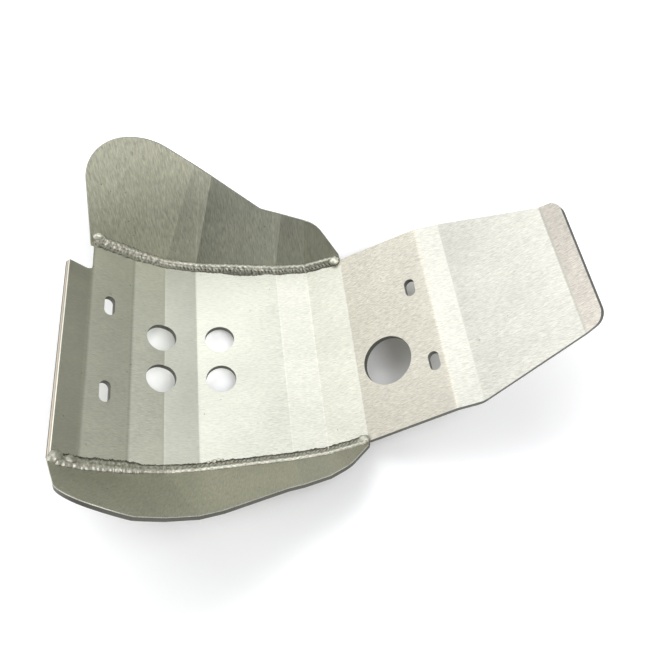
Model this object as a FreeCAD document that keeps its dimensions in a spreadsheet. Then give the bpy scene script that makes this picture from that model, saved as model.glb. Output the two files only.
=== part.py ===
import FreeCAD, Part
import math
import os

import Sketcher

# Welded aluminium skid plate for a motorcycle: a folded main plate, one upright wing
# along each side, and a fillet weld inside each joint. It lies belly down. X runs from
# the front lip to the tail, Y across, and Z up. The origin is the middle of the keel,
# the flat strip that the plate rests on, at its underside.

Vector = FreeCAD.Vector
doc = FreeCAD.newDocument("skid_plate")

# Driving dimensions, in millimetres and degrees

SIZES = [
    ("sheet_thickness", 5.2),
    ("wing_thickness", 2.8),
    ("bend_radius", 4.0),
    # facets of the main plate from front to tail, each length from bend to bend
    ("lip_length", 22.5),
    ("lip_angle", -55.0),
    ("front_length", 38.8),
    ("front_angle", -40.5),
    ("ramp_length", 29.4),
    ("ramp_angle", -32.8),
    ("chin_length", 28.4),
    ("chin_angle", -17.9),
    ("belly_length", 76.8),
    ("belly_angle", -8.4),
    ("keel_length", 29.7),
    ("keel_angle", 0.0),
    ("heel_length", 35.6),
    ("heel_angle", 19.6),
    ("rear_length", 78.7),
    ("rear_angle", 31.0),
    ("step_length", 21.4),
    ("step_angle", 15.8),
    ("tail_length", 86.0),
    ("tail_angle", 29.0),
    ("tip_length", 17.2),
    ("tip_angle", 49.2),
    # plan of the main plate
    ("keel_half_width", 95.6),
    ("side_taper_angle", 3.1),
    ("far_tip_half_width", 57.3),
    ("near_tip_half_width", 54.5),
    ("tip_corner_radius", 12.0),
    ("hip_radius", 30.0),
    ("notch_half_width", 71.3),
    ("notch_radius", 4.0),
    # holes
    ("mud_hole_diameter", 26.0),
    ("mud_hole_spread", 40.0),
    ("mud_hole_ahead_of_chin_bend", 3.0),
    ("mud_hole_behind_belly_bend", 20.2),
    ("plug_hole_diameter", 44.5),
    ("plug_hole_behind_bend", 29.1),
    ("plug_hole_offset", -28.4),
    ("slot_width", 9.5),
    ("front_slot_length", 18.6),
    ("front_slot_behind_bend", 17.7),
    ("front_slot_spread", 81.0),
    ("rear_slot_length", 17.2),
    ("far_rear_slot_behind_bend", 62.7),
    ("far_rear_slot_offset", 31.8),
    ("near_rear_slot_behind_bend", 69.4),
    ("near_rear_slot_offset", -43.9),
    # lean of each wing out from square to its facet
    ("far_front_flare_angle", 33.0),
    ("far_chin_flare_angle", 34.0),
    ("far_belly_flare_angle", 35.0),
    ("far_keel_flare_angle", 36.0),
    ("far_heel_flare_angle", 39.0),
    ("near_front_flare_angle", 36.0),
    ("near_chin_flare_angle", 37.0),
    ("near_belly_flare_angle", 38.0),
    ("near_keel_flare_angle", 38.5),
    ("near_heel_flare_angle", 40.0),
    # outline of the far wing, from the bend between chin and belly
    ("far_front_edge", -91.0),
    ("far_lobe_height", 121.4),
    ("far_lobe_crest", -39.0),
    ("far_waist", 60.0),
    ("far_waist_height", 60.2),
    ("far_shoulder", 113.5),
    ("far_shoulder_height", 49.0),
    ("far_heel_end", 139.0),
    ("far_heel_end_height", 19.4),
    ("far_lobe_corner_radius", 35.5),
    ("far_lobe_crest_radius", 54.0),
    # outline of the near wing, from the same bend on its own side
    ("near_front_edge", -104.0),
    ("near_front_height", 47.0),
    ("near_brow", -86.0),
    ("near_lobe_height", 119.5),
    ("near_lobe_crest", -50.0),
    ("near_waist", 62.0),
    ("near_waist_height", 63.0),
    ("near_shoulder", 113.0),
    ("near_shoulder_height", 49.0),
    ("near_heel_end", 139.0),
    ("near_heel_end_height", 20.5),
    ("near_lobe_corner_radius", 24.0),
    ("near_lobe_crest_radius", 60.0),
    ("waist_radius", 14.0),
    ("shoulder_radius", 25.0),
    # fillet welds
    ("far_weld_plate_leg", 5.2),
    ("far_weld_wing_leg", 6.0),
    ("near_weld_plate_leg", 5.0),
    ("near_weld_wing_leg", 6.5),
    ("far_weld_front_swell", 1.1),
    ("near_weld_front_swell", 1.45),
    ("weld_ripple_pitch", 4.6),
    ("weld_ripple_depth", 0.6),
    ("weld_end_length", 2.5),
]

sheet = doc.addObject("Spreadsheet::Sheet", "dims")
for row, (alias, value) in enumerate(SIZES, start=1):
    sheet.set("A%d" % row, alias)
    sheet.set("B%d" % row, str(value))
    sheet.setAlias("B%d" % row, alias)
doc.recompute()


def size(expression):
    """Value of a dimension, or of a sum of dimensions such as 'dims.lip_length * 2'."""
    text = expression if "dims." in expression else "dims." + expression
    return float(sheet.evalExpression(text))


# Facets of the main plate and the bends between them

FACETS = ["lip", "front", "ramp", "chin", "belly", "keel", "heel", "rear", "step", "tail", "tip"]
KEEL = FACETS.index("keel")
thickness = size("sheet_thickness")


def slope(facet):
    return math.radians(size(facet + "_angle"))


def along(facet):
    """Unit direction down the length of a facet, towards the tail."""
    return Vector(math.cos(slope(facet)), 0, math.sin(slope(facet)))


def square(facet):
    """Unit normal of a facet's upper face."""
    return Vector(-math.sin(slope(facet)), 0, math.cos(slope(facet)))


def upper_bends():
    """Sharp corners of the upper face, from the lip's edge to the tip's edge."""
    start = Vector(-size("keel_length") / 2, 0, thickness)
    bends = [start]
    for facet in reversed(FACETS[:KEEL]):
        bends.insert(0, bends[0] - along(facet) * size(facet + "_length"))
    for facet in FACETS[KEEL:]:
        bends.append(bends[-1] + along(facet) * size(facet + "_length"))
    return bends


def half_width(x):
    """Half width of the plate beside the wings, tapering towards the tail."""
    return size("keel_half_width") - x * math.tan(math.radians(size("side_taper_angle")))


BENDS = upper_bends()


def lower_bends():
    """Sharp corners of the underside, one sheet thickness below the upper face."""
    corners = []
    for number, bend in enumerate(BENDS):
        before = FACETS[max(number - 1, 0)]
        after = FACETS[min(number, len(FACETS) - 1)]
        half_turn = (slope(after) - slope(before)) / 2
        normal = square(before) + square(after)
        normal.normalize()
        corners.append(bend - normal * (thickness / math.cos(half_turn)))
    return corners


def facet_placement(facet, from_bend, offset):
    """Frame on a facet's upper face: X along the facet, Y across, Z out of the face."""
    start = BENDS[FACETS.index(facet)]
    spot = start + along(facet) * from_bend + Vector(0, offset, 0)
    turn = FreeCAD.Rotation(Vector(0, 1, 0), -math.degrees(slope(facet)))
    return FreeCAD.Placement(spot, turn)


# Sketches and cutters

UPRIGHT = FreeCAD.Placement(Vector(0, 0, 0), FreeCAD.Rotation(Vector(1, 0, 0), 90))
# Length of the blocks that are trimmed away or cut with, well past the plate's edges
REACH = 400.0
# Points nearer to each other than this count as one point.
CLOSE = 0.01


def add_line(sketch, start, end):
    line = Part.LineSegment(Vector(start[0], start[1], 0), Vector(end[0], end[1], 0))
    return sketch.addGeometry(line, False)


def bind(sketch, kind, elements, expression):
    """Adds a dimension to a sketch and ties it to the sheet."""
    number = sketch.addConstraint(Sketcher.Constraint(kind, *elements, size(expression)))
    sketch.setExpression("Constraints[%d]" % number, expression)


def polygon_sketch(name, placement, corners):
    """Closed outline whose corners are pairs of expressions."""
    sketch = doc.addObject("Sketcher::SketchObject", name)
    sketch.Placement = placement
    spots = [(size(x), size(y)) for x, y in corners]
    for number, spot in enumerate(spots):
        add_line(sketch, spot, spots[(number + 1) % len(spots)])
    for number in range(len(spots)):
        following = (number + 1) % len(spots)
        sketch.addConstraint(Sketcher.Constraint("Coincident", number, 2, following, 1))
    for number, (x, y) in enumerate(corners):
        bind(sketch, "DistanceX", (-1, 1, number, 1), x)
        bind(sketch, "DistanceY", (-1, 1, number, 1), y)
    return sketch


def extrude(name, base, direction, forward, backward):
    solid = doc.addObject("Part::Extrusion", name)
    solid.Base = base
    solid.DirMode = "Custom"
    solid.Dir = direction
    solid.LengthFwd = forward
    solid.LengthRev = backward
    solid.Solid = True
    doc.recompute()
    return solid


def fillet(name, base, radius_of):
    """Rounds each edge of base for which radius_of gives a radius."""
    rounded = doc.addObject("Part::Fillet", name)
    rounded.Base = base
    edges = []
    for number, edge in enumerate(base.Shape.Edges, start=1):
        radius = radius_of(edge)
        if radius:
            edges.append((number, radius, radius))
    rounded.Edges = edges
    doc.recompute()
    return rounded


def boolean(kind, name, base, tool):
    result = doc.addObject("Part::" + kind, name)
    result.Base = base
    result.Tool = tool
    doc.recompute()
    return result


def feature(name, shape):
    """Solid worked out in code, for forms that have no feature of their own."""
    solid = doc.addObject("Part::Feature", name)
    solid.Shape = shape
    return solid


def half_space(spot, normal):
    """Large block that starts at a plane and fills the side its normal points to."""
    block = Part.makeBox(2 * REACH, 2 * REACH, REACH, Vector(-REACH, -REACH, 0))
    block.Placement = FreeCAD.Placement(spot, FreeCAD.Rotation(Vector(0, 0, 1), normal))
    return block


# Main plate: one sheet folded across at ten bends

profile = doc.addObject("Sketcher::SketchObject", "profile")
profile.Placement = UPRIGHT
for number, facet in enumerate(FACETS):
    start, end = BENDS[number], BENDS[number + 1]
    add_line(profile, (start.x, start.z), (end.x, end.z))
for number, facet in enumerate(FACETS[:-1]):
    profile.addConstraint(Sketcher.Constraint("Coincident", number, 2, number + 1, 1))
for number, facet in enumerate(FACETS):
    bind(profile, "Distance", (number, 1, number, 2), "dims.%s_length" % facet)
    angle = Sketcher.Constraint("Angle", number, slope(facet))
    place = profile.addConstraint(angle)
    profile.setExpression("Constraints[%d]" % place, "dims.%s_angle * 1 deg" % facet)
bind(profile, "DistanceX", (-1, 1, KEEL, 1), "-dims.keel_length / 2")
bind(profile, "DistanceY", (-1, 1, KEEL, 1), "dims.sheet_thickness")

section = doc.addObject("Part::Offset2D", "section")
section.Source = profile
section.Mode = "Skin"
section.Join = "Intersection"
section.Fill = True
section.setExpression("Value", "-dims.sheet_thickness")
doc.recompute()

sharp_sheet = extrude("sharp_sheet", section, Vector(0, 1, 0), REACH / 2, REACH / 2)


def bend_fillet(edge):
    """Inside radius at the hollow side of each bend, and the sheet more outside it."""
    middle = edge.CenterOfMass
    if abs(middle.y) > CLOSE or abs(edge.Length - REACH) > CLOSE:
        return None
    inner = size("bend_radius")
    outer = inner + thickness
    lower = lower_bends()
    for number in range(1, len(FACETS)):
        cupped = slope(FACETS[number]) > slope(FACETS[number - 1])
        if middle.distanceToPoint(BENDS[number]) < CLOSE:
            return inner if cupped else outer
        if middle.distanceToPoint(lower[number]) < CLOSE:
            return outer if cupped else inner
    return None


folded_sheet = fillet("folded_sheet", sharp_sheet, bend_fillet)



def run_of(facets):
    """Expression for the level distance that a row of facets covers."""
    return " + ".join("dims.%s_length * cos(dims.%s_angle)" % (facet, facet) for facet in facets)


def half_width_at(x):
    """Expression for the half width of the plate beside the wings."""
    return "dims.keel_half_width - (%s) * tan(dims.side_taper_angle)" % x


TAIL = FACETS.index("tail")
LIP_BEND_X = "-dims.keel_length / 2 - (%s)" % run_of(FACETS[1:KEEL])
LIP_X = "%s - %s - dims.sheet_thickness" % (LIP_BEND_X, run_of(["lip"]))
HIP_X = "dims.keel_length / 2 + %s" % run_of(FACETS[KEEL + 1:TAIL])
TIP_X = "%s + %s + dims.sheet_thickness" % (HIP_X, run_of(["tail", "tip"]))
plan_corners = [
    (LIP_X, half_width_at(LIP_X)),
    (HIP_X, half_width_at(HIP_X)),
    (TIP_X, "dims.far_tip_half_width"),
    (TIP_X, "-dims.near_tip_half_width"),
    (HIP_X, "-(%s)" % half_width_at(HIP_X)),
    (LIP_X, "-(%s)" % half_width_at(LIP_X)),
]
plan = polygon_sketch("plan", FreeCAD.Placement(), plan_corners)
plan_block = extrude("plan_block", plan, Vector(0, 0, 1), REACH, REACH)


def hip_fillet(edge):
    middle = edge.CenterOfMass
    hip = BENDS[TAIL].x
    at_hip = abs(middle.x - hip) < CLOSE and abs(abs(middle.y) - half_width(hip)) < CLOSE
    return size("hip_radius") if at_hip else None


plan_solid = fillet("plan_solid", plan_block, hip_fillet)
trimmed_sheet = boolean("Common", "trimmed_sheet", folded_sheet, plan_solid)


def tip_fillet(edge):
    """The two corners of the tail's edge, rounded square to the tip."""
    middle = edge.CenterOfMass
    at_end = (middle - BENDS[-1]).dot(along("tip")) > -thickness
    crosswise = abs(edge.Vertexes[0].Y - edge.Vertexes[-1].Y) > thickness
    short = edge.Length < 2 * thickness
    return size("tip_corner_radius") if at_end and short and not crosswise else None


rounded_sheet = fillet("rounded_sheet", trimmed_sheet, tip_fillet)

# The lip is cut away beside the far wing, back to its bend.

notch_block = doc.addObject("Part::Box", "notch_block")
notch_block.Length = REACH
notch_block.Width = REACH
notch_block.Height = REACH
notch_block.setExpression("Placement.Base.x", "%s - %.1f" % (LIP_BEND_X, REACH))
notch_block.setExpression("Placement.Base.y", "dims.notch_half_width")
doc.recompute()


def notch_fillet(edge):
    middle = edge.CenterOfMass
    corner = Vector(BENDS[1].x, size("notch_half_width"), REACH / 2)
    return size("notch_radius") if middle.distanceToPoint(corner) < CLOSE else None


notch = fillet("notch", notch_block, notch_fillet)


# A cutter stands out of each face by this many sheet thicknesses.
CUT_DEPTHS = 3


def round_cutter(name, diameter, placement):
    cutter = doc.addObject("Part::Cylinder", name)
    cutter.setExpression("Radius", "dims.%s / 2" % diameter)
    cutter.setExpression("Height", "dims.sheet_thickness * %d" % (2 * CUT_DEPTHS))
    lowered = placement.multVec(Vector(0, 0, -CUT_DEPTHS * thickness))
    cutter.Placement = FreeCAD.Placement(lowered, placement.Rotation)
    return cutter


def slot_cutter(name, length, placement):
    """Slot with round ends that runs across the plate."""
    sketch = doc.addObject("Sketcher::SketchObject", name + "_outline")
    sketch.Placement = placement
    radius = size("slot_width") / 2
    reach = size(length) / 2 - radius
    right = add_line(sketch, (radius, -reach), (radius, reach))
    left = add_line(sketch, (-radius, reach), (-radius, -reach))
    ends = []
    for centre, first in ((reach, 0.0), (-reach, math.pi)):
        circle = Part.Circle(Vector(0, centre, 0), Vector(0, 0, 1), radius)
        arc = Part.ArcOfCircle(circle, first, first + math.pi)
        ends.append(sketch.addGeometry(arc, False))
    top, bottom = ends
    for first, first_end, second, second_end in (
        (right, 2, top, 1),
        (top, 2, left, 1),
        (left, 2, bottom, 1),
        (bottom, 2, right, 1),
    ):
        sketch.addConstraint(
            Sketcher.Constraint("Tangent", first, first_end, second, second_end)
        )
    bind(sketch, "DistanceX", (-1, 1, top, 3), "dims.slot_width * 0")
    bind(sketch, "DistanceY", (-1, 1, top, 3), "(dims.%s - dims.slot_width) / 2" % length)
    bind(sketch, "DistanceY", (bottom, 3, top, 3), "dims.%s - dims.slot_width" % length)
    bind(sketch, "Radius", (top,), "dims.slot_width / 2")
    depth = CUT_DEPTHS * thickness
    return extrude(name, sketch, placement.Rotation.multVec(Vector(0, 0, 1)), depth, depth)


cutters = [notch]
for side in (1, -1):
    label = "far" if side > 0 else "near"
    across = side * size("mud_hole_spread") / 2
    # the front pair straddles the bend between ramp and chin, square to neither facet
    behind_bend = size("ramp_length") - size("mud_hole_ahead_of_chin_bend")
    front_spot = facet_placement("ramp", behind_bend, across)
    mean_slope = (size("ramp_angle") + size("chin_angle")) / 2
    front_spot.Rotation = FreeCAD.Rotation(Vector(0, 1, 0), -mean_slope)
    cutters.append(round_cutter(label + "_front_mud_hole", "mud_hole_diameter", front_spot))
    rear_spot = facet_placement("belly", size("mud_hole_behind_belly_bend"), across)
    cutters.append(round_cutter(label + "_rear_mud_hole", "mud_hole_diameter", rear_spot))
    slot_offset = side * size("front_slot_spread") / 2
    slot_spot = facet_placement("front", size("front_slot_behind_bend"), slot_offset)
    cutters.append(slot_cutter(label + "_front_slot", "front_slot_length", slot_spot))
    rear_slot = facet_placement(
        "rear", size(label + "_rear_slot_behind_bend"), size(label + "_rear_slot_offset")
    )
    cutters.append(slot_cutter(label + "_rear_slot", "rear_slot_length", rear_slot))
plug_spot = facet_placement("rear", size("plug_hole_behind_bend"), size("plug_hole_offset"))
cutters.append(round_cutter("plug_hole", "plug_hole_diameter", plug_spot))

all_cutters = doc.addObject("Part::MultiFuse", "all_cutters")
all_cutters.Shapes = cutters
doc.recompute()
pierced_sheet = boolean("Cut", "pierced_sheet", rounded_sheet, all_cutters)

# Wings: flat panels that lean out from each facet and are folded where it bends


class WingFrame:
    """Root line, panel planes and fold lines of the wing on one side."""

    def __init__(self, label, side, first_facet):
        self.label = label
        self.side = side
        self.first = FACETS.index(first_facet)
        self.last = FACETS.index("heel")
        self.panels = range(self.first, self.last + 1)

    def root(self, number):
        bend = BENDS[number]
        return Vector(bend.x, self.side * half_width(bend.x), bend.z)

    def flare(self, number):
        facet = FACETS[number]
        name = "front" if facet in ("lip", "front", "ramp") else facet
        return math.radians(size("%s_%s_flare_angle" % (self.label, name)))

    def axes(self, number):
        """Along the root, up the wing, and out of its outer face."""
        run = self.root(number + 1) - self.root(number)
        run.normalize()
        out = Vector(0, self.side, 0)
        out = out - run * out.dot(run)
        out = out - square(FACETS[number]) * out.dot(square(FACETS[number]))
        out.normalize()
        up = square(FACETS[number])
        flare = self.flare(number)
        rise = up * math.cos(flare) + out * math.sin(flare)
        outward = out * math.cos(flare) - up * math.sin(flare)
        return run, rise, outward

    def fold(self, number):
        """Direction of the fold that starts at a bend, up the wing."""
        before = self.axes(number - 1)[2]
        after = self.axes(number)[2]
        direction = before.cross(after)
        direction.normalize()
        return direction if direction.z > 0 else -direction

    def step(self, number):
        """Outward direction midway between the two panels at a fold."""
        return self.axes(number - 1)[2] + self.axes(number)[2]

    def panel(self, number, depth):
        """One flat panel, cut at its folds, with room to spare above and below."""
        run, rise, outward = self.axes(number)
        below = rise * (CUT_DEPTHS * thickness)
        above = rise * (2 * size(self.label + "_lobe_height"))
        first = number == self.first
        last = number == self.last
        spare = size(self.label + "_lobe_height")
        start = self.root(number) - run * spare
        end = self.root(number + 1) + run * (0.0 if last else spare)
        corners = [start - below, end - below, end + above, start + above]
        face = Part.Face(Part.makePolygon(corners + [corners[0]]))
        panel = face.extrude(outward * depth)
        if not first:
            cut = self.fold(number).cross(self.step(number))
            cut = cut if cut.dot(run) < 0 else -cut
            panel = panel.cut(half_space(self.root(number), cut))
        if not last:
            cut = self.fold(number + 1).cross(self.step(number + 1))
            cut = cut if cut.dot(run) > 0 else -cut
            panel = panel.cut(half_space(self.root(number + 1), cut))
        return panel

    def blank(self, depth):
        """All panels of the wing in one folded piece of sheet."""
        pieces = [self.panel(number, depth) for number in self.panels]
        whole = pieces[0].fuse(pieces[1:])
        return whole.removeSplitter().Solids[0]


def below_sheet():
    """Everything under the underside of the main plate."""
    low = Vector(0, 0, -REACH)
    corners = lower_bends()
    corners[0] = corners[0] - along("lip") * REACH
    corners[-1] = corners[-1] + along("tip") * REACH
    outline = corners + [corners[-1] + low * 3, corners[0] + low * 3]
    outline = [corner + Vector(0, -REACH, 0) for corner in outline]
    face = Part.Face(Part.makePolygon(outline + [outline[0]]))
    return face.extrude(Vector(0, 2 * REACH, 0))


under = feature("under", below_sheet())


def wing_outline(frame, corners):
    """Prism of the wing's outline, square to its belly panel."""
    number = FACETS.index("belly")
    run, rise, outward = frame.axes(number)
    turn = FreeCAD.Rotation(run, rise, run.cross(rise), "ZXY")
    placement = FreeCAD.Placement(frame.root(number), turn)
    outline = [(x, y) for x, y, radius in corners]
    sketch = polygon_sketch(frame.label + "_wing_outline", placement, outline)
    return extrude(frame.label + "_wing_prism", sketch, outward, REACH / 4, REACH / 4)


SIDE_SHARE = 0.98


def corner_radii(corners):
    """Radius of each corner, held back where two roundings would overlap on a side."""
    spots = [Vector(size(x), size(y), 0) for x, y, radius in corners]
    wanted = [size(radius) if radius else 0.0 for x, y, radius in corners]
    count = len(corners)
    tangents = []
    for number, spot in enumerate(spots):
        before = spots[number - 1] - spot
        after = spots[(number + 1) % count] - spot
        tangents.append(wanted[number] / math.tan(before.getAngle(after) / 2))
    radii = []
    for number in range(count):
        shares = [1.0]
        for other in (number - 1, (number + 1) % count):
            room = SIDE_SHARE * (spots[other] - spots[number]).Length
            needed = tangents[number] + tangents[other]
            if needed > room:
                shares.append(room / needed)
        radii.append(wanted[number] * min(shares))
    return radii


def outline_fillet(frame, corners):
    """Rounds the upright edges of the prism at the corners that have a radius."""
    sketch = doc.getObject(frame.label + "_wing_outline")
    outward = frame.axes(FACETS.index("belly"))[2]
    rounded = []
    for number, radius in enumerate(corner_radii(corners)):
        if radius > 0:
            rounded.append((sketch.Placement.multVec(sketch.getPoint(number, 1)), radius))

    def radius_of(edge):
        middle = edge.CenterOfMass
        upright = abs(edge.Length - REACH / 2) < CLOSE
        for corner, radius in rounded:
            offset = middle - corner
            flat = offset - outward * offset.dot(outward)
            if upright and flat.Length < CLOSE:
                return radius
        return None

    return radius_of


def make_wing(frame, corners):
    prism = wing_outline(frame, corners)
    rounded = fillet(frame.label + "_wing_plan", prism, outline_fillet(frame, corners))
    blank = feature(frame.label + "_wing_blank", frame.blank(size("wing_thickness")))
    doc.recompute()
    cut_out = boolean("Common", frame.label + "_wing_panels", blank, rounded)
    return boolean("Cut", frame.label + "_wing", cut_out, under)


far_frame = WingFrame("far", 1, "front")
near_frame = WingFrame("near", -1, "lip")

far_wing = make_wing(
    far_frame,
    [
        ("dims.far_front_edge", "-dims.far_lobe_height / 2", None),
        ("dims.far_front_edge", "dims.far_lobe_height", "far_lobe_corner_radius"),
        ("dims.far_lobe_crest", "dims.far_lobe_height", "far_lobe_crest_radius"),
        ("dims.far_waist", "dims.far_waist_height", "waist_radius"),
        ("dims.far_shoulder", "dims.far_shoulder_height", "shoulder_radius"),
        ("dims.far_heel_end", "dims.far_heel_end_height", None),
        ("dims.far_heel_end", "-dims.far_lobe_height / 2", None),
    ],
)
near_wing = make_wing(
    near_frame,
    [
        ("dims.near_front_edge", "-dims.near_lobe_height / 2", None),
        ("dims.near_front_edge", "dims.near_front_height", None),
        ("dims.near_brow", "dims.near_lobe_height", "near_lobe_corner_radius"),
        ("dims.near_lobe_crest", "dims.near_lobe_height", "near_lobe_crest_radius"),
        ("dims.near_waist", "dims.near_waist_height", "waist_radius"),
        ("dims.near_shoulder", "dims.near_shoulder_height", "shoulder_radius"),
        ("dims.near_heel_end", "dims.near_heel_end_height", None),
        ("dims.near_heel_end", "-dims.near_lobe_height / 2", None),
    ],
)

# The plate's side edges are cut to lie against the inner face of the wings.

far_side = feature("far_side", far_frame.blank(REACH / 4))
near_side = feature("near_side", near_frame.blank(REACH / 4))
doc.recompute()
far_trimmed = boolean("Cut", "far_trimmed", pierced_sheet, far_side)
main_plate = boolean("Cut", "main_plate", far_trimmed, near_side)


# Fillet welds: rippled beads in the corner between plate and wing

# Angles, in degrees, of the points round the bead's crown
CROWN = [0, 30, 60, 90]
# Share of a ripple's length over which it rises, and the size of a free end's sections
RIPPLE_RISE = 0.35
END_SCALES = [0.3, 0.75]


class Bead:
    """Sections of a fillet weld, from the front end of a wing's root to its rear end."""

    def __init__(self, frame):
        self.frame = frame
        self.plate_leg = size(frame.label + "_weld_plate_leg")
        self.wing_leg = size(frame.label + "_weld_wing_leg")
        self.trough = 1 - size("weld_ripple_depth") / self.plate_leg

    def swell(self, number):
        """How much thicker the bead is ahead of the ramp than along the rest."""
        ahead = FACETS[number] in ("lip", "front")
        return size(self.frame.label + "_weld_front_swell") if ahead else 1.0

    def section(self, root, across, up, scale):
        """Rounded corner fill between a line on the plate and a line on the wing."""
        corners = [root]
        for angle in CROWN:
            on_plate = across * (self.plate_leg * scale * math.cos(math.radians(angle)))
            on_wing = up * (self.wing_leg * scale * math.sin(math.radians(angle)))
            corners.append(root + on_plate + on_wing)
        return Part.makePolygon(corners + [root])

    def inward(self, number):
        """Direction on the plate's face, square to the wing's root."""
        run = self.frame.axes(number)[0]
        direction = run.cross(square(FACETS[number]))
        return -direction if direction.y * self.frame.side > 0 else direction

    def mitre(self, number):
        """Section shared by the two panels that meet at a bend."""
        rise = self.frame.axes(number)[1]
        fold = self.frame.fold(number)
        up = fold * (1 / fold.dot(rise))
        across = Vector(0, -self.frame.side, 0)
        scale = self.trough * (self.swell(number - 1) + self.swell(number)) / 2
        return self.section(self.frame.root(number), across, up, scale)

    def stretch(self, number):
        """Rippled sections along one panel, between its mitres or its free ends."""
        root = self.frame.root(number)
        run, rise, outward = self.frame.axes(number)
        length = (self.frame.root(number + 1) - root).Length
        end = size("weld_end_length")
        count = max(2, round(length / size("weld_ripple_pitch")))
        pitch = length / count
        spots = []
        for ripple in range(count):
            spots.append((ripple * pitch, self.trough))
            spots.append(((ripple + RIPPLE_RISE) * pitch, 1.0))
        spots = [spot for spot in spots if end < spot[0] < length - end]
        low, high = END_SCALES
        if number == self.frame.first:
            spots = [(0.0, low), (end / 2, high), (end, 1.0)] + spots
        if number == self.frame.last:
            spots += [(length - end, 1.0), (length - end / 2, high), (length, low)]
        inward = self.inward(number)
        swell = self.swell(number)
        return [
            self.section(root + run * where, inward, rise, scale * swell) for where, scale in spots
        ]

    def solid(self):
        sections = []
        for number in self.frame.panels:
            if number != self.frame.first:
                sections.append(self.mitre(number))
            sections += self.stretch(number)
        bead = Part.makeLoft(sections, True, True)
        wing = doc.getObject(self.frame.label + "_wing")
        bead = bead.cut(main_plate.Shape).cut(wing.Shape)
        return max(bead.Solids, key=lambda solid: solid.Volume)


far_weld = feature("far_weld", Bead(far_frame).solid())
near_weld = feature("near_weld", Bead(near_frame).solid())
doc.recompute()

# Checks and output

NODES = [main_plate, far_wing, near_wing, far_weld, near_weld]
for node in NODES:
    node.Label = node.Name

for thing in doc.Objects:
    if "Invalid" in thing.State or "Error" in thing.State:
        raise RuntimeError("%s failed: %s" % (thing.Name, thing.State))
for node in NODES:
    shape = node.Shape
    if shape.isNull() or not shape.isValid() or len(shape.Solids) != 1:
        raise RuntimeError("%s has no single valid solid" % node.Label)
    box = shape.BoundBox
    print(
        "%-11s %8.1f mm3  x %7.1f %7.1f  y %7.1f %7.1f  z %6.1f %6.1f"
        % (node.Label, shape.Volume, box.XMin, box.XMax, box.YMin, box.YMax, box.ZMin, box.ZMax)
    )

os.makedirs("parts", exist_ok=True)
for node in NODES:
    node.Shape.exportStep("parts/%s.step" % node.Label)
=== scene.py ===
import math

import bmesh
import bpy
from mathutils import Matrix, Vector, noise


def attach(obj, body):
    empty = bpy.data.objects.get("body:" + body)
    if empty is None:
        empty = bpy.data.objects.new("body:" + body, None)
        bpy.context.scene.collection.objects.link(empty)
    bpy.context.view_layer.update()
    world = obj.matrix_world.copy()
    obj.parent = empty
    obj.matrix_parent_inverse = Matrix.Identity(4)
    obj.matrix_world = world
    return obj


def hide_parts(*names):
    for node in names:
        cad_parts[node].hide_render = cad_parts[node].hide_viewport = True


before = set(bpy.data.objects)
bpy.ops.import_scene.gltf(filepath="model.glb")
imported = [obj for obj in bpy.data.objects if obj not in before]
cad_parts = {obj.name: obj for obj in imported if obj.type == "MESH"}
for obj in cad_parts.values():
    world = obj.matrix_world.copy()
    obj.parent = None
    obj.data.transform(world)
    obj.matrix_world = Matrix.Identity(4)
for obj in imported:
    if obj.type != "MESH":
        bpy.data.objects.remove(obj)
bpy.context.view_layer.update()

# Main plate. One sheet of rolled aluminium, folded on a press at ten bends, with its holes
# and slots cut through. The mill grain runs from lip to tail. Each panel's colour is painted
# lighter or darker for the way it faces the light, and the sawn edges are dark, partly dull
# cut and partly painted shade.
MILLIMETRE = 0.001
LIP_END, TAIL_END = -190.0, 228.0

# Each panel: where it ends in mm, its colour, and how much of that colour it has at its start
# and in the thin crease that the press left at its end. The colours and the blends from each
# start are painted light and shade for the way the panel faces the light, and each crease is
# a painted highlight or painted shade line along the bend.
PLATE_PANELS = [
    (-172.1, (0.490, 0.495, 0.408), 1.0, 1.05),
    (-142.6, (0.715, 0.722, 0.600), 1.06, 0.88),
    (-117.9, (0.810, 0.822, 0.695), 1.02, 0.91),
    (-90.8, (0.630, 0.645, 0.562), 1.0, 0.92),
    (-14.9, (0.775, 0.789, 0.701), 0.95, 0.96),
    (14.9, (0.665, 0.672, 0.603), 1.0, 0.97),
    (48.4, (0.635, 0.635, 0.562), 1.0, 1.0),
    (115.9, (0.660, 0.636, 0.556), 1.02, 1.04),
    (136.4, (0.615, 0.615, 0.561), 1.02, 1.0),
    (211.7, (0.622, 0.618, 0.565), 0.96, 1.05),
    (TAIL_END, (0.778, 0.733, 0.666), 1.0, 1.0),
]
TAIL_STEP = (110, 140)
STEP_SOFTNESS, BEND_SOFTNESS = 2.4, 0.55
# A painted sheen on the access hole's panel, lighter towards the far side.
ACCESS_PANEL_MIDDLE, ACCESS_PANEL_REACH = 82.1, 33.8
ACCESS_PANEL_SHEEN, ACCESS_PANEL_START = 1.68, 0.015
PLATE_GRAIN = (235, 1750, 235)
PLATE_GRAIN_STRENGTH = (0.55, 1.4)
# Dark colour of the sawn edges: partly dull cut, partly painted shade.
PLATE_SAWN_AND_SHADE = (0.16, 0.16, 0.14)
METALLIC = 0.85

# Painted light and shade across the lip's cut end, from its outer corner to its inner one:
# a tan face between dark lines, and a bright painted highlight along the filed inner corner.
LIP_END_LIMIT = -168
LIP_END_DIRECTION = (0.819, 0.0, 0.574)
LIP_END_DEPTHS = (-108.1, -102.9)
LIP_END_LIGHT_AND_SHADE = [
    (0.0, (0.16, 0.15, 0.125)), (0.16, (0.20, 0.19, 0.16)), (0.24, (0.62, 0.56, 0.47)),
    (0.55, (0.55, 0.49, 0.41)), (0.68, (0.30, 0.28, 0.235)), (0.78, (0.90, 0.88, 0.78)),
    (1.0, (0.95, 0.93, 0.83)),
]


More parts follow.
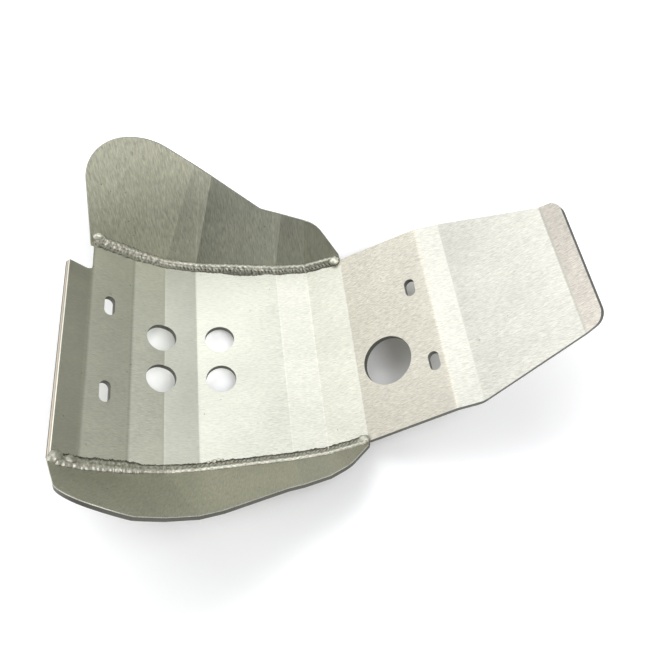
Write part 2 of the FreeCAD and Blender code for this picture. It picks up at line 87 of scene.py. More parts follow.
def parts(tree, vector):
    """X, Y and Z of a vector."""
    apart = tree.nodes.new("ShaderNodeSeparateXYZ")
    tree.links.new(vector, apart.inputs["Vector"])
    return apart.outputs


def arithmetic(tree, operation, *values):
    """One Math node; each value is a number or another node's output."""
    node = tree.nodes.new("ShaderNodeMath")
    node.operation = operation
    for socket, value in zip(node.inputs, values):
        if isinstance(value, (int, float)):
            socket.default_value = value
        else:
            tree.links.new(value, socket)
    return node.outputs["Value"]


def graded(tree, value, start, end, at_start, at_end, smooth=False):
    """A value's way from start to end, turned into a level from at_start to at_end."""
    level = tree.nodes.new("ShaderNodeMapRange")
    if smooth:
        level.interpolation_type = "SMOOTHSTEP"
    level.inputs["From Min"].default_value = start
    level.inputs["From Max"].default_value = end
    level.inputs["To Min"].default_value = at_start
    level.inputs["To Max"].default_value = at_end
    tree.links.new(value, level.inputs["Value"])
    return level.outputs["Result"]


def tone_ramp(tree, value, tones, stepped=False):
    """Colours at places from 0 to 1, blended between them unless they are stepped."""
    ramp = tree.nodes.new("ShaderNodeValToRGB")
    if stepped:
        ramp.color_ramp.interpolation = "CONSTANT"
    stops = ramp.color_ramp.elements
    for stop, (where, colour) in zip(stops, (tones[0], tones[-1])):
        stop.position = where
        stop.color = (*colour, 1)
    for where, colour in tones[1:-1]:
        stops.new(where).color = (*colour, 1)
    tree.links.new(value, ramp.inputs["Fac"])
    return ramp.outputs["Color"]


def shaded(tree, colour, shade):
    """A colour, fixed or from another node, times a shade."""
    node = tree.nodes.new("ShaderNodeVectorMath")
    node.operation = "SCALE"
    if isinstance(colour, tuple):
        node.inputs[0].default_value = colour
    else:
        tree.links.new(colour, node.inputs[0])
    tree.links.new(shade, node.inputs["Scale"])
    return node.outputs["Vector"]


def along(tree, place, direction):
    """How far a place lies along a direction."""
    node = tree.nodes.new("ShaderNodeVectorMath")
    node.operation = "DOT_PRODUCT"
    node.inputs[1].default_value = direction
    tree.links.new(place, node.inputs[0])
    return node.outputs["Value"]


def picked(tree, choice, colour, other):
    """The first colour, fixed or from another node, or the other where the choice is 1."""
    node = tree.nodes.new("ShaderNodeMix")
    node.data_type = "RGBA"
    tree.links.new(choice, node.inputs["Factor"])
    if isinstance(colour, tuple):
        node.inputs["A"].default_value = (*colour, 1)
    else:
        tree.links.new(colour, node.inputs["A"])
    tree.links.new(other, node.inputs["B"])
    return node.outputs["Result"]


def speckle(tree, place, scale, detail, dark, light, low=0.3, high=0.7):
    """Noise between two levels, turned into a factor from dark to light."""
    stretch = tree.nodes.new("ShaderNodeMapping")
    stretch.inputs["Scale"].default_value = scale
    tree.links.new(place, stretch.inputs["Vector"])
    grain = tree.nodes.new("ShaderNodeTexNoise")
    grain.inputs["Scale"].default_value = 1.0
    grain.inputs["Detail"].default_value = detail
    grain.inputs["Roughness"].default_value = 0.6
    tree.links.new(stretch.outputs["Vector"], grain.inputs["Vector"])
    return graded(tree, grain.outputs["Fac"], low, high, dark, light)


def facing(tree, which="Normal"):
    """X, Y and Z of the surface's own direction."""
    return parts(tree, tree.nodes.new("ShaderNodeNewGeometry").outputs[which])


def relief(tree, height, strength, depth, metal):
    """Fine bumps under the light."""
    bump = tree.nodes.new("ShaderNodeBump")
    bump.inputs["Strength"].default_value = strength
    bump.inputs["Distance"].default_value = depth
    tree.links.new(height, bump.inputs["Height"])
    tree.links.new(bump.outputs["Normal"], metal.inputs["Normal"])


def edge_light_and_shade(tree, place, dull_and_shaded):
    """Dull saw cut with painted shade; at the lip's end, filed, with a painted highlight at its
    inner corner.
    """
    outer, inner = (depth * MILLIMETRE for depth in LIP_END_DEPTHS)
    depth = graded(tree, along(tree, place, LIP_END_DIRECTION), outer, inner, 0.0, 1.0)
    lit_lip_end = tone_ramp(tree, depth, LIP_END_LIGHT_AND_SHADE)
    at_lip = arithmetic(
        tree, "LESS_THAN", parts(tree, place)["X"], LIP_END_LIMIT * MILLIMETRE)
    return picked(tree, at_lip, dull_and_shaded, lit_lip_end)


def top_light_and_scuffs(tree, place, bottom, top, gain):
    """Painted light growing towards the top of a wing, with small dark scuffs where hands and
    straps rub.
    """
    height = parts(tree, place)["Z"]
    lift = graded(tree, height, bottom * MILLIMETRE, top * MILLIMETRE, 1.0, gain, smooth=True)
    scuffs = speckle(tree, place, (420, 150, 150), 2, dark=0.0, light=-0.20, low=0.64, high=0.68)
    worn = arithmetic(tree, "GREATER_THAN", height, 112 * MILLIMETRE)
    return lift, arithmetic(tree, "MULTIPLY_ADD", scuffs, worn, 1.0)


def rolled_sheet(name, grain, tone_at, strength, sawn_edge_and_shade, edge_mask, top_glow=None):
    """Rolled aluminium: grain scale per axis, a tone with painted light and shade, and dark sawn
    edges with painted shade.

    The grain's strength is given ahead of the chin and behind the keel.
    """
    material = bpy.data.materials.new(name)
    material.use_nodes = True
    tree = material.node_tree
    metal = tree.nodes["Principled BSDF"]
    metal.inputs["Metallic"].default_value = METALLIC
    place = tree.nodes.new("ShaderNodeTexCoord").outputs["Object"]
    tone = tone_at(tree, place)
    finer_grain = [2.1 * each for each in grain]
    hairlines = speckle(tree, place, grain, 3, dark=0.80, light=1.20)
    fine = speckle(tree, place, finer_grain, 2, dark=0.95, light=1.05)
    clouds = speckle(tree, place, (14, 22, 14), 3, dark=0.945, light=1.055)
    pits = speckle(tree, place, (390, 390, 390), 0, dark=1.0, light=0.6, low=0.862, high=0.88)
    chin, keel = -100 * MILLIMETRE, 60 * MILLIMETRE
    contrast = graded(tree, parts(tree, place)["X"], chin, keel, *strength)
    shade = arithmetic(tree, "MULTIPLY", hairlines, fine)
    shade = arithmetic(tree, "SUBTRACT", shade, 1.0)
    shade = arithmetic(tree, "MULTIPLY_ADD", shade, contrast, 1.0)
    shade = arithmetic(tree, "MULTIPLY", shade, clouds)
    shade = arithmetic(tree, "MULTIPLY", shade, pits)
    if top_glow:
        for factor in top_light_and_scuffs(tree, place, *top_glow):
            shade = arithmetic(tree, "MULTIPLY", shade, factor)
    is_edge = edge_mask(tree, place)
    colour = picked(tree, is_edge, shaded(tree, tone, shade), edge_light_and_shade(tree, place, sawn_edge_and_shade))
    tree.links.new(colour, metal.inputs["Base Color"])
    gloss = speckle(tree, place, grain, 3, dark=0.44, light=0.56)
    gloss = arithmetic(tree, "MULTIPLY_ADD", is_edge, 0.15, gloss)
    tree.links.new(gloss, metal.inputs["Roughness"])
    relief(tree, hairlines, 0.15, 0.1 * MILLIMETRE, metal)
    return material


def crease_softness(bend):
    """Half the width of a crease's painted highlight or shade: the two bends of the tail's step
    are wide and soft.
    """
    return STEP_SOFTNESS if TAIL_STEP[0] < bend < TAIL_STEP[1] else BEND_SOFTNESS


def plate_tone(tree, place):
    """Painted light and shade: a tone for each panel, and a painted sheen across the access hole's
    panel.
    """
    tones = []
    start = LIP_END
    for end, colour, lead, crease in PLATE_PANELS:
        for where, part in (
            (start + crease_softness(start), lead), (end - crease_softness(end), 1.0),
            (end, crease),
        ):
            tone = tuple(part * channel for channel in colour)
            tones.append(((where - LIP_END) / (TAIL_END - LIP_END), tone))
        start = end
    tones = [(0.0, tones[0][1]), *tones[1:-2], (1.0, tones[-2][1])]
    spot = parts(tree, place)
    reach = graded(tree, spot["X"], LIP_END * MILLIMETRE, TAIL_END * MILLIMETRE, 0.0, 1.0)
    inside = arithmetic(tree, "COMPARE", spot["X"], ACCESS_PANEL_MIDDLE * MILLIMETRE,
                        ACCESS_PANEL_REACH * MILLIMETRE)
    sheen = arithmetic(
        tree, "MULTIPLY_ADD", spot["Y"], ACCESS_PANEL_SHEEN, ACCESS_PANEL_START)
    return shaded(tree, tone_ramp(tree, reach, tones),
                  arithmetic(tree, "MULTIPLY_ADD", inside, sheen, 1.0))


# These cut sides and walls take the dark edge colour, partly dull cut and partly painted shade.
def plate_edges(tree, place):
    """Cut sides look sideways, and hole walls and the tail's end look along the sheet.

    Ahead of the keel the faces look up and to the rear or down and to the front, and behind
    it the other way round. Walls do the opposite.
    """
    normal = facing(tree)
    side = arithmetic(tree, "GREATER_THAN", arithmetic(tree, "ABSOLUTE", normal["Y"]), 0.35)
    turn = arithmetic(tree, "MULTIPLY", normal["X"], normal["Z"])
    which_end = arithmetic(tree, "SIGN", parts(tree, place)["X"])
    wall = arithmetic(tree, "GREATER_THAN", arithmetic(tree, "MULTIPLY", turn, which_end), 0.04)
    return arithmetic(tree, "MAXIMUM", side, wall)


plate_material = rolled_sheet(
    "rolled_plate", PLATE_GRAIN, plate_tone, PLATE_GRAIN_STRENGTH, PLATE_SAWN_AND_SHADE, plate_edges)
for slot in bpy.data.objects["main_plate"].material_slots:
    slot.material = plate_material

# Wings. Two panels of thinner sheet, folded at the same bends as the plate and flared
# outwards. Their grain runs up from the weld to the rim, each facet is painted lighter or
# darker for the way it faces the light, and the far one's high lobe is painted lighter
# towards its top, with small dark scuffs near the top.
WING_GRAIN = (1150, 160, 160)
WING_GRAIN_STRENGTH = (1.1, 0.7)
# Dark colour of the wings' sawn rims: partly dull cut, partly painted shade.
WING_SAWN_AND_SHADE = (0.17, 0.17, 0.145)
BELLY_START, BELLY_END = -90.8, -14.9
CREASE_HIGHLIGHT_HALF_WIDTH = 0.4

# Long creases of the wings, each with a thin painted highlight line: X and Z of their foot
# in mm, and their lean in degrees.
WING_CREASES = [(-90.83, 16.42, -13.15), (-14.85, 5.20, -4.2), (14.85, 5.20, 9.8)]

# Facets from heel to lobe. The first number is the least fall of such a facet: its
# direction's X over its Z. The colour is painted lighter or darker for the way the facet
# faces the light.
LEAST_FALL, MOST_FALL = -1.0, 2.0
WINGS = {
    "far_wing": {
        "facets": [
            (-1.0, (0.320, 0.325, 0.261)),
            (-0.25, (0.307, 0.315, 0.256)),
            (0.0, (0.375, 0.385, 0.317)),
            (0.153, (0.538, 0.541, 0.441)),
            (0.385, (0.597, 0.600, 0.484)),
            (0.626, (0.572, 0.574, 0.463)),
            (0.96, (0.462, 0.465, 0.373)),
        ],
        "belly_sheen": (0.78, 1.22),
        "crease_highlight": 0.16,
        "top_glow": (55.0, 125.0, 1.62),
    },
    "near_wing": {
        "facets": [
            (-1.0, (0.402, 0.396, 0.328)),
            (-0.25, (0.403, 0.398, 0.329)),
            (0.0, (0.438, 0.432, 0.350)),
            (0.153, (0.430, 0.427, 0.342)),
            (0.385, (0.410, 0.408, 0.328)),
            (0.626, (0.403, 0.401, 0.324)),
            (0.96, (0.408, 0.407, 0.331)),
        ],
        "belly_sheen": (1.0, 1.0),
        "crease_highlight": 0.03,
        "top_glow": None,
    },
}


# The rim takes the dark edge colour, partly dull cut and partly painted shade.
def wing_rims(tree, place):
    """A wing's faces look mostly sideways, and its sawn rim looks up or along."""
    return arithmetic(tree, "LESS_THAN", arithmetic(tree, "ABSOLUTE", facing(tree)["Y"]), 0.70)


def facet_tones(tree, place, facets, belly_sheen, crease_highlight):
    """Painted light and shade: a tone for each facet by its fall, a painted sheen along the belly
    and painted crease highlights.
    """
    direction = facing(tree, "True Normal")
    fall = arithmetic(tree, "DIVIDE", direction["X"], direction["Z"])
    fall = graded(tree, fall, LEAST_FALL, MOST_FALL, 0.0, 1.0)
    tones = [((least - LEAST_FALL) / (MOST_FALL - LEAST_FALL), colour)
             for least, colour in facets]
    shade = graded(tree, parts(tree, place)["X"], BELLY_START * MILLIMETRE,
                   BELLY_END * MILLIMETRE, *belly_sheen)
    for foot_x, foot_z, degrees in WING_CREASES:
        tilt = math.radians(degrees)
        across = along(tree, place, (math.cos(tilt), 0.0, math.sin(tilt)))
        line = (foot_x * math.cos(tilt) + foot_z * math.sin(tilt)) * MILLIMETRE
        crease = arithmetic(tree, "COMPARE", across, line, CREASE_HIGHLIGHT_HALF_WIDTH * MILLIMETRE)
        crease = arithmetic(tree, "MULTIPLY_ADD", crease, crease_highlight, 1.0)
        shade = arithmetic(tree, "MULTIPLY", shade, crease)
    return shaded(tree, tone_ramp(tree, fall, tones, stepped=True), shade)


for wing, look in WINGS.items():
    finish = rolled_sheet(
        wing + "_sheet", WING_GRAIN,
        lambda tree, place: facet_tones(
            tree, place, look["facets"], look["belly_sheen"], look["crease_highlight"]),
        WING_GRAIN_STRENGTH, WING_SAWN_AND_SHADE, wing_rims, look["top_glow"],
    )
    for slot in bpy.data.objects[wing].material_slots:
        slot.material = finish

# Filed rims. The inner corner of each wing's sawn rim was run over with a file, and a
# narrow bright line runs all along it, from the front to the heel: partly bare filed
# aluminium, partly a painted highlight where the rounded corner catches the light.
FILED_RADIUS = 0.32 * MILLIMETRE
FILED_SIDES = 6
FILED_START, FILED_END = -190 * MILLIMETRE, 47 * MILLIMETRE
# Colour of the filed corner: bare filed metal with a painted highlight.
FILED_HIGHLIGHT_COLOUR = (0.80, 0.79, 0.70)
SAME_SPOT = 0.01 * MILLIMETRE
INNER_FACE, RIM_FACE, UNDERSIDE = 0.70, 0.66, -0.25
SHARP_CORNER = 1.0


def filed_highlight_corner():
    """Bright metal with the file's uneven strokes: bare filed aluminium with a painted highlight.
    """
    material = bpy.data.materials.new("filed_highlight_corner")
    material.use_nodes = True
    tree = material.node_tree
    metal = tree.nodes["Principled BSDF"]
    metal.inputs["Metallic"].default_value = METALLIC
    place = tree.nodes.new("ShaderNodeTexCoord").outputs["Object"]
    strokes = speckle(tree, place, (900, 900, 900), 3, dark=0.55, light=1.0)
    tree.links.new(shaded(tree, FILED_HIGHLIGHT_COLOUR, strokes), metal.inputs["Base Color"])
    gloss = speckle(tree, place, (700, 700, 700), 2, dark=0.35, light=0.55)
    tree.links.new(gloss, metal.inputs["Roughness"])
    return material


filed_highlight_metal = filed_highlight_corner()


def inner_corners(wing, inward):
    """Ends of each edge between the wing's inner face and its rim."""
    sheet = bmesh.new()
    sheet.from_mesh(bpy.data.objects[wing].data)
    bmesh.ops.remove_doubles(sheet, verts=sheet.verts, dist=SAME_SPOT)
    sheet.normal_update()
    corners = []
    for edge in sheet.edges:
        if len(edge.link_faces) != 2 or not FILED_START < edge.verts[0].co.x < FILED_END:
            continue
        inner, rim = sorted(edge.link_faces, key=lambda face: -face.normal.y * inward)
        if inner.normal.y * inward < INNER_FACE or rim.normal.y * inward > RIM_FACE:
            continue
        if rim.normal.z > UNDERSIDE and edge.calc_face_angle() > SHARP_CORNER:
            corners.append([vertex.co.copy() for vertex in edge.verts])
    sheet.free()
    return corners


def file_rim(wing, inward):
    """A thin round bead along the wing's inner corner, bright with filed metal and a painted
    highlight.
    """
    rim = bmesh.new()
    for start, end in inner_corners(wing, inward):
        heading = (end - start).normalized()
        turn = heading.to_track_quat("Z", "Y")
        lap = heading * FILED_RADIUS * 0.5
        rings = []
        for spot in (start - lap, end + lap):
            rings.append([])
            for step in range(FILED_SIDES):
                angle = math.tau * step / FILED_SIDES
                around = Vector((FILED_RADIUS * math.cos(angle),
                                 FILED_RADIUS * math.sin(angle), 0))
                rings[-1].append(rim.verts.new(spot + turn @ around))
        first, last = rings
        for step in range(FILED_SIDES):
            after = (step + 1) % FILED_SIDES
            rim.faces.new((first[step], first[after], last[after], last[step]))
        rim.faces.new(first)
        rim.faces.new(reversed(last))
    bmesh.ops.recalc_face_normals(rim, faces=rim.faces)
    data = bpy.data.meshes.new(wing + "_rim")
    rim.to_mesh(data)
    rim.free()
    data.materials.append(filed_highlight_metal)
    piece = bpy.data.objects.new(wing + "_rim", data)
    bpy.context.collection.objects.link(piece)
    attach(piece, "root")


file_rim("near_wing", 1)
file_rim("far_wing", -1)

# Weld beads. Filler metal laid by hand in the corner between each wing and the plate, in
# two strands of overlapping ripples with soot and painted shade along their toes, painted
# highlights on the ripple crests and painted shade between the strands. They start and stop
# in round craters, and the near one is heaped up over the lip's corner.
BENDS = [
    (-184.98, 84.71), (-172.07, 66.28), (-142.57, 41.08), (-117.86, 25.15),
    (-90.83, 16.42), (-14.85, 5.20), (14.85, 5.20), (48.39, 17.14),
]
WAIST = 95.6
TAPER = 0.05416
STATION_STEP = 0.40
RING_ROWS = 26
SLOPE_BLEND = 5
ROUGH_END = -105
HEAP_END, HEAP_LENGTH = -132, 10
END_TAPER, END_SIZE = 4.0, 0.45
SKIRT, SKIRT_SPREAD, SMUDGE_SPREAD = 0.25, 0.6, 2.6
RIPPLE_PITCH, RIPPLE_RISE, RIPPLE_LEAN = 5.6, 0.22, 2.3
CREST_LINE, CREST_PITCH = 0.70, 5.2
TWIST_PITCH = 3.4
SUNK = 0.25
# Tones for the bead's layer of soot with painted light and shade, from bright to dark.
SOOT_AND_SHADE_TONES = [
    (0.0, (0.80, 0.80, 0.71)), (0.45, (0.50, 0.495, 0.42)), (1.0, (0.10, 0.097, 0.08)),
]


def weld_metal():
    """Cast filler metal: painted highlights on ripple crests, soot and painted shade from the
    mesh's own layer.
    """
    material = bpy.data.materials.new("weld_filler")
    material.use_nodes = True
    tree = material.node_tree
    metal = tree.nodes["Principled BSDF"]
    metal.inputs["Metallic"].default_value = METALLIC
    place = tree.nodes.new("ShaderNodeTexCoord").outputs["Object"]
    soot_and_shade = tree.nodes.new("ShaderNodeAttribute")
    soot_and_shade.attribute_name = "soot_and_shade"
    blotch = speckle(tree, place, (420, 420, 420), 3, dark=-0.16, light=0.16)
    amount = arithmetic(tree, "ADD", soot_and_shade.outputs["Fac"], blotch)
    tree.links.new(tone_ramp(tree, amount, SOOT_AND_SHADE_TONES), metal.inputs["Base Color"])
    gloss = speckle(tree, place, (600, 600, 600), 2, dark=0.46, light=0.64)
    tree.links.new(gloss, metal.inputs["Roughness"])
    relief(tree, blotch, 0.35, 0.3 * MILLIMETRE, metal)
    return material


filler = weld_metal()


def within(value):
    """A level kept from 0 to 1."""
    return max(0.0, min(1.0, value))


def wobble(where, pitch, seed):
    """Smooth irregularity along the bead, from -1 to 1."""
    return noise.noise(Vector((where / pitch, seed * 7.3, seed * 1.7)))


def swell(part, centre, width):
    """A soft band across the bead."""
    return math.exp(-((part - centre) / width) ** 2)


def bead_line(side, first, flares):
    """Stations from bend number `first` to the heel: root, slope, lean, distance in mm."""
    stations = []
    distance = 0.0
    for number in range(first, len(BENDS) - 1):
        (x0, z0), (x1, z1) = BENDS[number], BENDS[number + 1]
        start = Vector((x0, side * (WAIST - TAPER * x0), z0))
        end = Vector((x1, side * (WAIST - TAPER * x1), z1))
        slope, lean = math.atan2(z1 - z0, x1 - x0), math.radians(flares[number])
        length = (end - start).length
        count = round(length / STATION_STEP)
        for index in range(count):
            stations.append((start.lerp(end, index / count), slope, lean,
                             distance + length * index / count))
        distance += length
    stations.append((end, slope, lean, distance))
    return stations


def blended(stations, index, column):
    """Mean of a station's slope or lean and its neighbours', so that bends turn smoothly."""
    window = stations[max(0, index - SLOPE_BLEND):index + SLOPE_BLEND + 1]
    return sum(station[column] for station in window) / len(window)


def strand_point(where, part, edge, rough, soil, seed):
    """Height of the bead's skin, as a part of its legs, and its soot and painted light and shade
    at one place.
    """
    angle = part * math.pi / 2
    strand = math.sin(2 * angle) ** 2
    valley = swell(part, 0.47, 0.10)
    lead = where / RIPPLE_PITCH + RIPPLE_LEAN * part + 0.55 * wobble(where, 8, seed + 6)
    beat = lead - math.floor(lead)
    if beat > RIPPLE_RISE:
        scale = (1 - beat) ** 1.3
    else:
        scale = (beat / RIPPLE_RISE) * 0.724
    lump = noise.noise(Vector((where / 2.6, part * 3.0, seed))) * rough
    grit = noise.noise(Vector((where / 1.1, part * 6.0, seed + 9)))
    height = 0.82 + 0.18 * strand - 0.08 * valley
    height += 0.07 * (scale - 0.4) * (0.4 + 0.6 * strand) + 0.05 * lump + 0.022 * grit
    height += 0.05 * swell(part, 0.70, 0.12)
    height = max(0.55, height) * (1 + (edge - 1) * abs(part - 0.5) * 2)

    # A painted highlight runs along the wavy crest of the upper strand.
    crest = CREST_LINE + 0.05 * math.sin(
        math.tau * where / CREST_PITCH + 2 * wobble(where, 7, seed))
    ridge = swell(part, crest, 0.075)
    twist = math.cos(
        math.tau * (where / TWIST_PITCH + 1.5 * part + 0.4 * wobble(where, 5, seed)))
    lower = swell(part, 0.24, 0.13)
    smooth_run = rough < 1.0
    # Soot with painted light and shade: rising ripples lighter as a painted highlight, the valley
    # between the strands and both toes darker as painted shade as well as soot.
    dark = soil - 0.20 * (scale - 0.35) * (0.3 + 0.7 * strand) + 0.20 * valley
    dark -= (0.44 if smooth_run else 0.14) * ridge
    dark -= (0.36 if smooth_run else 0.16) * lower * twist
    dark += 0.10 * lower
    dark += 0.40 * max(0.0, 1 - part / 0.07) + 0.50 * max(0.0, (part - 0.93) / 0.07)
    dark += 0.25 * lump + 0.22 * grit
    return height, within(dark)


def bead_ring(stations, index, side, plate_leg, wing_leg, ahead, smudge, seed):
    """One cut across the bead: its spots in mm and the soot at each."""
    root, _, _, where = stations[index]
    slope, lean = blended(stations, index, 1), blended(stations, index, 2)
    up = Vector((-math.sin(slope), 0, math.cos(slope)))
    out = Vector((0, side, 0))
    across = -out
    rise = up * math.cos(lean) + out * math.sin(lean)
    from_wing = across * math.cos(lean) + up * math.sin(lean)
    at_front = root.x < ROUGH_END
    rough = 1.0 if at_front else 0.5
    soil = (0.47 if at_front else 0.58) - (0.11 if side < 0 else 0.0)
    fuller = 1.0 + (ahead - 1.0) * within((HEAP_END - root.x) / HEAP_LENGTH)
    fuller *= 1.0 + 0.07 * wobble(where, 9, seed) + 0.05 * wobble(where, 3.1, seed + 1)
    to_end = min(where, stations[-1][3] - where)
    taper = min(1.0, END_SIZE + to_end / END_TAPER)
    on_plate, on_wing = plate_leg * fuller * taper, wing_leg * fuller * taper
    ragged = 1 + 0.12 * wobble(where, 2.3, seed + 2) + 0.08 * wobble(where, 0.9, seed + 3)
    skirt = SKIRT + SKIRT_SPREAD * max(0.0, wobble(where, 6.5, seed + 4) + 0.2)
    smudge_start, smudge_end = smudge
    if smudge_start < root.x < smudge_end:
        way = math.pi * (root.x - smudge_start) / (smudge_end - smudge_start)
        skirt += SMUDGE_SPREAD * math.sin(way)
    toe = root + across * (on_plate * ragged + skirt)
    # The toes on the plate and the wing are dark: soot, with painted shade where the bead meets
    # them.
    ring = [(toe - up * SUNK, 1.0), (toe + up * 0.05, 0.92)]
    for row in range(RING_ROWS):
        part = row / (RING_ROWS - 1)
        angle = part * math.pi / 2
        edge = ragged if part < 0.5 else 2 - ragged
        height, dark = strand_point(where, part, edge, rough, soil, seed)
        spot = root + across * (on_plate * math.cos(angle) * height)
        spot += rise * (on_wing * math.sin(angle) * height)
        ring.append((spot, dark))
    ring.append((root + rise * (on_wing * (2 - ragged)) - from_wing * SUNK, 0.9))
    ring.append((root - (up + from_wing) * 0.3, 0.9))
    return ring


def add_lump(mesh, soot_and_shade, centre, radii, top_highlight):
    """A crater's rim or a drop of spatter, uneven, with a painted highlight on its top."""
    centre = Vector(centre)
    ball = bmesh.ops.create_icosphere(mesh, subdivisions=4, radius=1.0)
    for vertex in ball["verts"]:
        bump = 1 + 0.13 * noise.noise(vertex.co * 2.1 + centre)
        bump += 0.05 * noise.noise(vertex.co * 6.0 + centre)
        vertex[soot_and_shade] = within(0.75 - top_highlight * (0.5 + 0.5 * vertex.co.z))
        spot = Vector(vertex.co[axis] * radii[axis] * bump for axis in range(3))
        vertex.co = (centre + spot) * MILLIMETRE


def lay_bead(name, side, first, flares, plate_leg, wing_leg, ahead, smudge, lumps, seed):
    """Lay one bead from bend number `first` to the heel; all lengths in millimetres."""
    mesh = bmesh.new()
    soot_and_shade = mesh.verts.layers.float.new("soot_and_shade")
    stations = bead_line(side, first, flares)
    rings = []
    for index in range(len(stations)):
        rings.append([])
        for spot, dark in bead_ring(
                stations, index, side, plate_leg, wing_leg, ahead, smudge, seed):
            vertex = mesh.verts.new(spot * MILLIMETRE)
            vertex[soot_and_shade] = dark
            rings[-1].append(vertex)
    around = len(rings[0])
    for this, following in zip(rings, rings[1:]):
        for index in range(around):
            after = (index + 1) % around
            mesh.faces.new((this[index], this[after], following[after], following[index]))
    mesh.faces.new(rings[0])
    mesh.faces.new(reversed(rings[-1]))
    for centre, radii, top_highlight in lumps:
        add_lump(mesh, soot_and_shade, centre, radii, top_highlight)
    bmesh.ops.recalc_face_normals(mesh, faces=mesh.faces)
    for face in mesh.faces:
        face.smooth = True
    data = bpy.data.meshes.new(name)
    mesh.to_mesh(data)
    mesh.free()
    data.materials.append(filler)
    bead = bpy.data.objects.new(name, data)
    bpy.context.collection.objects.link(bead)
    return bead


# Flares in degrees from bend to bend, the run where soot and painted shade spread wider over
# the plate, and lumps by centre, radii and the strength of the painted highlight on their tops.
FAR_FLARES = [33, 33, 33, 34, 35, 36, 39]
FAR_SMUDGE = (-72.0, -22.0)
FAR_LUMPS = [
    ((-168.0, 105.8, 68.8), (4.4, 3.0, 3.6), 0.75),
    ((42.6, 90.9, 18.6), (4.4, 3.8, 3.6), 0.85),
]
far_bead = lay_bead(
    "far_weld_bead", side=1, first=1, flares=FAR_FLARES, plate_leg=5.2, wing_leg=6.0,
    ahead=1.25, smudge=FAR_SMUDGE, lumps=FAR_LUMPS, seed=3)
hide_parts("far_weld")
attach(far_bead, "root")

NEAR_FLARES = [36, 36, 36, 37, 38, 38.5, 40]
NEAR_SMUDGE = (-185.0, -184.0)
NEAR_LUMPS = [
    ((-182.0, -103.5, 83.5), (5.4, 6.2, 5.6), 0.30),
    ((-175.5, -103.5, 74.5), (5.6, 4.6, 5.4), 0.22),
    ((44.4, -91.2, 17.9), (4.6, 3.6, 2.4), 0.40),
    ((41.0, -92.6, 16.4), (3.4, 2.8, 2.4), 0.30),
    ((-79.5, -94.4, 15.0), (2.2, 1.5, 1.0), 0.45),
    ((-75.8, -93.6, 14.5), (1.7, 1.3, 0.9), 0.50),
    ((-72.6, -94.0, 14.0), (1.4, 1.2, 0.8), 0.35),
    ((-84.0, -95.0, 15.6), (1.6, 1.1, 0.8), 0.45),
]
near_bead = lay_bead(
    "near_weld_bead", side=-1, first=0, flares=NEAR_FLARES, plate_leg=5.0, wing_leg=6.5,
    ahead=1.45, smudge=NEAR_SMUDGE, lumps=NEAR_LUMPS, seed=11)
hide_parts("near_weld")
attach(near_bead, "root")

# Studio. The plate lies on a white table, lit by wide soft lights from behind, from the
# front lip's side and from the camera's right, so its shadow falls towards the near side.
# The table has painted shade where the plate shelters it and a painted pool of light behind the
# rear mud holes.
FLOOR_REACH, FLOOR_Z = 6.0, -0.0006
TABLE_WHITE = (0.965, 0.97, 0.99)
SHELTER_REACH = 0.14
OPEN_GLOW, OPEN_FALL = 0.26, 3.0
FAR_GLOW = (0.7, 3.0, 0.0, 0.75)
SHELTER_SHADE = (0.15, 0.60, 0.66, 1.0)
# Painted light under the mud holes: a glowing pool, and a wider patch kept clear of the painted
# shade.
LIT_SPOT, LIT_RADIUS, LIT_GLOW = (-0.073, 0.009, 0), 0.036, 0.20
CLEAR_SPOT, CLEAR_RADIUS = (-0.095, 0.010, 0), 0.075
PATCH_CORE = 0.55
SKY_LIGHT, SKY_SEEN = 0.03, 0.90
LIGHT_SIZE, LIGHT_DISTANCE = 1.6, 2.6

tabletop = bpy.data.meshes.new("floor")
tabletop.from_pydata(
    [(x * FLOOR_REACH, y * FLOOR_REACH, FLOOR_Z) for x, y in ((-1, -1), (1, -1), (1, 1), (-1, 1))],
    [], [(0, 1, 2, 3)],
)
floor = bpy.data.objects.new("floor", tabletop)
bpy.context.collection.objects.link(floor)


def patch(tree, place, centre, radius, inside, outside):
    """Level of a round patch of the table under the plate."""
    away = tree.nodes.new("ShaderNodeVectorMath")
    away.operation = "DISTANCE"
    away.inputs[1].default_value = centre
    tree.links.new(place, away.inputs[0])
    return graded(tree, away.outputs["Value"], PATCH_CORE * radius, radius, inside, outside,
                  smooth=True)


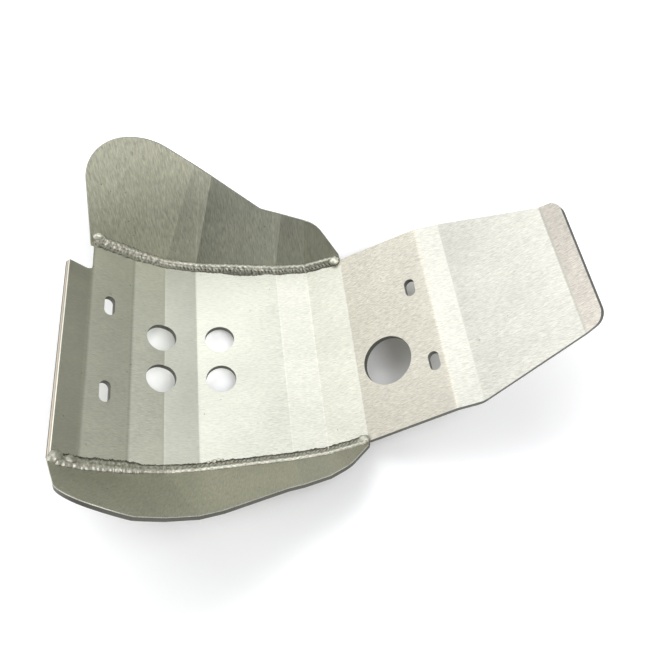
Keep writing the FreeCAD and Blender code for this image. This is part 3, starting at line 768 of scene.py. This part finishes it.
def white_table():
    """Matt white paint, glowing in the open and plain far away, with painted shade in the plate's
    shelter and painted light under the mud holes.
    """
    material = bpy.data.materials.new("table_white")
    material.use_nodes = True
    tree = material.node_tree
    white = tree.nodes["Principled BSDF"]
    white.inputs["Roughness"].default_value = 0.95
    white.inputs["Specular IOR Level"].default_value = 0.2
    white.inputs["Emission Color"].default_value = (1, 1, 1, 1)
    place = tree.nodes.new("ShaderNodeTexCoord").outputs["Object"]
    shelter = tree.nodes.new("ShaderNodeAmbientOcclusion")
    shelter.inputs["Distance"].default_value = SHELTER_REACH
    openness = shelter.outputs["AO"]
    spread = tree.nodes.new("ShaderNodeVectorMath")
    spread.operation = "LENGTH"
    tree.links.new(place, spread.inputs[0])
    # The glow fades where the plate shelters the table: painted shade.
    glow = arithmetic(tree, "POWER", openness, OPEN_FALL)
    glow = arithmetic(tree, "MULTIPLY", glow, OPEN_GLOW)
    glow = arithmetic(tree, "ADD", glow, graded(tree, spread.outputs["Value"], *FAR_GLOW))
    glow = arithmetic(
        tree, "ADD", glow, patch(tree, place, LIT_SPOT, LIT_RADIUS, LIT_GLOW, 0.0))
    tree.links.new(glow, white.inputs["Emission Strength"])
    # The base colour greys in the plate's shelter, a painted shade, but not in a round patch under
    # the mud holes.
    shade = arithmetic(
        tree, "MAXIMUM", graded(tree, openness, *SHELTER_SHADE, smooth=True),
        patch(tree, place, CLEAR_SPOT, CLEAR_RADIUS, 1.0, 0.0))
    tree.links.new(shaded(tree, TABLE_WHITE, shade), white.inputs["Base Color"])
    return material


tabletop.materials.append(white_table())

world = bpy.data.worlds.new("studio")
bpy.context.scene.world = world
world.use_nodes = True
sky = world.node_tree.nodes["Background"]
sky.inputs["Color"].default_value = (1, 1, 1, 1)
seen = world.node_tree.nodes.new("ShaderNodeLightPath").outputs["Is Camera Ray"]
backdrop = arithmetic(world.node_tree, "MULTIPLY_ADD", seen, SKY_SEEN, SKY_LIGHT)
world.node_tree.links.new(backdrop, sky.inputs["Strength"])

for name, azimuth, elevation, watts in (
    ("behind_left", 135, 55, 19.5),
    ("near_right", 315, 55, 48.5),
    ("lip_side", 180, 22, 28.6),
    ("behind_low", 90, 22, 3.9),
    ("behind", 90, 55, 17.8),
):
    panel = bpy.data.lights.new(name, "AREA")
    panel.shape = "SQUARE"
    panel.size = LIGHT_SIZE
    panel.energy = watts
    lamp = bpy.data.objects.new(name, panel)
    turn, climb = math.radians(azimuth), math.radians(elevation)
    away = Vector((math.cos(climb) * math.cos(turn), math.cos(climb) * math.sin(turn),
                   math.sin(climb)))
    lamp.location = away * LIGHT_DISTANCE
    lamp.rotation_euler = away.to_track_quat("Z", "Y").to_euler()
    bpy.context.collection.objects.link(lamp)

camera_data = bpy.data.cameras.new("camera")
camera_data.sensor_width = 36.0
camera_data.lens = 36.01
camera_data.clip_start = 0.01
camera = bpy.data.objects.new("camera", camera_data)
camera.location = (-0.01215, -0.2760, 0.5237)
camera.rotation_euler = (math.radians(30.84), 0, math.radians(-6.79))
bpy.context.collection.objects.link(camera)
bpy.context.scene.camera = camera
bpy.context.scene.view_settings.view_transform = "Standard"
